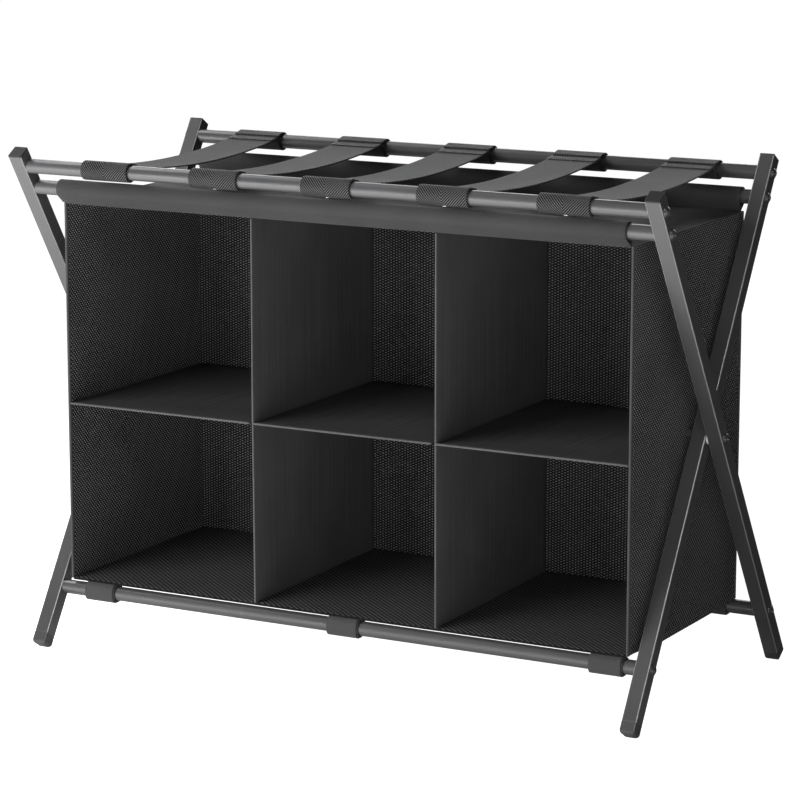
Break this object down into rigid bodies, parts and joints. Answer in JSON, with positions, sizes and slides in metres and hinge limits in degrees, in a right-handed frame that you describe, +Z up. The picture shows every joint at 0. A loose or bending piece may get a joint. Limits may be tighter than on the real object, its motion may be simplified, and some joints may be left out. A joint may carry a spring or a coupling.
{
  "type": "folding luggage rack",
  "caption": "Scissor-legged luggage rack in black square tube, with webbing straps across the top and a hanging fabric organiser of open compartments.",
  "frame": {"origin": "on the floor, under the middle of the open rack", "axes": "+Z up, +X along the rails to the right seen from the open side, -Y towards the open side of the organiser"},
  "size_m": [0.686, 0.3188, 0.4929],
  "materials": {
    "frame_steel": "satin black powder coat",
    "black_plastic": "fine-grained moulding",
    "black_fasteners": "black zinc, semi-gloss",
    "plain_steel": "bright zinc",
    "white_nylon": "smooth",
    "strap_webbing": "smooth flat webbing",
    "loop_twill": "herringbone twill",
    "hem_cloth": "smooth polyester",
    "oxford_cloth": "coarse oxford weave",
    "nonwoven_cloth": "smooth non-woven cloth",
    "binding_tape": "narrow woven tape",
    "hook_tape": "hook-and-loop tape"
  },
  "bodies": {
    "inner_frame": {"inner_leg_left": "frame_steel", "inner_leg_right": "frame_steel", "inner_top_plug_left": "black_plastic", "inner_top_plug_right": "black_plastic", "inner_foot_left": "black_plastic", "inner_foot_right": "black_plastic", "back_top_rail": "frame_steel", "back_organiser_rail": "frame_steel", "front_bottom_rail_left": "frame_steel", "front_bottom_rail_right": "frame_steel", "front_bottom_rail_joiner": "plain_steel", "inner_rail_inserts": "plain_steel", "inner_rail_bolts": "black_fasteners", "pivot_bolts": "black_fasteners", "pivot_washers": "white_nylon", "pivot_nuts": "black_fasteners", "back_hem_sleeve": "hem_cloth", "back_strap_loop_1": "loop_twill", "back_strap_loop_2": "loop_twill", "back_strap_loop_3": "loop_twill", "back_strap_loop_4": "loop_twill", "back_strap_loop_5": "loop_twill", "front_hook_tabs": "hook_tape"},
    "outer_frame": {"outer_leg_left": "frame_steel", "outer_leg_right": "frame_steel", "outer_top_plug_left": "black_plastic", "outer_top_plug_right": "black_plastic", "outer_foot_left": "black_plastic", "outer_foot_right": "black_plastic", "front_top_rail": "frame_steel", "front_organiser_rail": "frame_steel", "back_bottom_rail": "frame_steel", "outer_rail_inserts": "plain_steel", "outer_rail_bolts": "black_fasteners", "front_hem_sleeve": "hem_cloth", "front_strap_loop_1": "loop_twill", "front_strap_loop_2": "loop_twill", "front_strap_loop_3": "loop_twill", "front_strap_loop_4": "loop_twill", "front_strap_loop_5": "loop_twill", "back_hook_tabs": "hook_tape"},
    "organiser": {"top_panel": "hem_cloth", "bottom_panel": "oxford_cloth", "back_panel": "oxford_cloth", "side_panel_left": "oxford_cloth", "side_panel_right": "oxford_cloth", "divider_left": "nonwoven_cloth", "divider_right": "nonwoven_cloth", "shelf_left": "nonwoven_cloth", "shelf_middle": "nonwoven_cloth", "shelf_right": "nonwoven_cloth", "edge_binding": "binding_tape"},
    "straps": {"strap_1": "strap_webbing", "strap_2": "strap_webbing", "strap_3": "strap_webbing", "strap_4": "strap_webbing", "strap_5": "strap_webbing"}
  },
  "joints": [
    {"name": "fold", "type": "hinge", "parent": "inner_frame", "child": "outer_frame", "pos_m": [0, 0, 0.24758], "axis": [-1, 0, 0], "range_deg": [0, 59]},
    {"name": "organiser_turn", "type": "hinge", "parent": "inner_frame", "child": "organiser", "pos_m": [0, 0.12944, 0.45312], "axis": [-1, 0, 0], "range_deg": [0, 29.6], "deforming": ["top_panel", "bottom_panel", "back_panel", "side_panel_left", "side_panel_right", "divider_left", "divider_right", "shelf_left", "shelf_middle", "shelf_right", "edge_binding"]},
    {"name": "straps_turn", "type": "hinge", "parent": "inner_frame", "child": "straps", "pos_m": [0, 0.14308, 0.47478], "axis": [-1, 0, 0], "range_deg": [0, 29.6], "deforming": ["strap_1", "strap_2", "strap_3", "strap_4", "strap_5"]}
  ],
  "couplings": [
    {"joint": "organiser_turn", "follows": "fold", "ratio": 0.5},
    {"joint": "straps_turn", "follows": "fold", "ratio": 0.5}
  ]
}
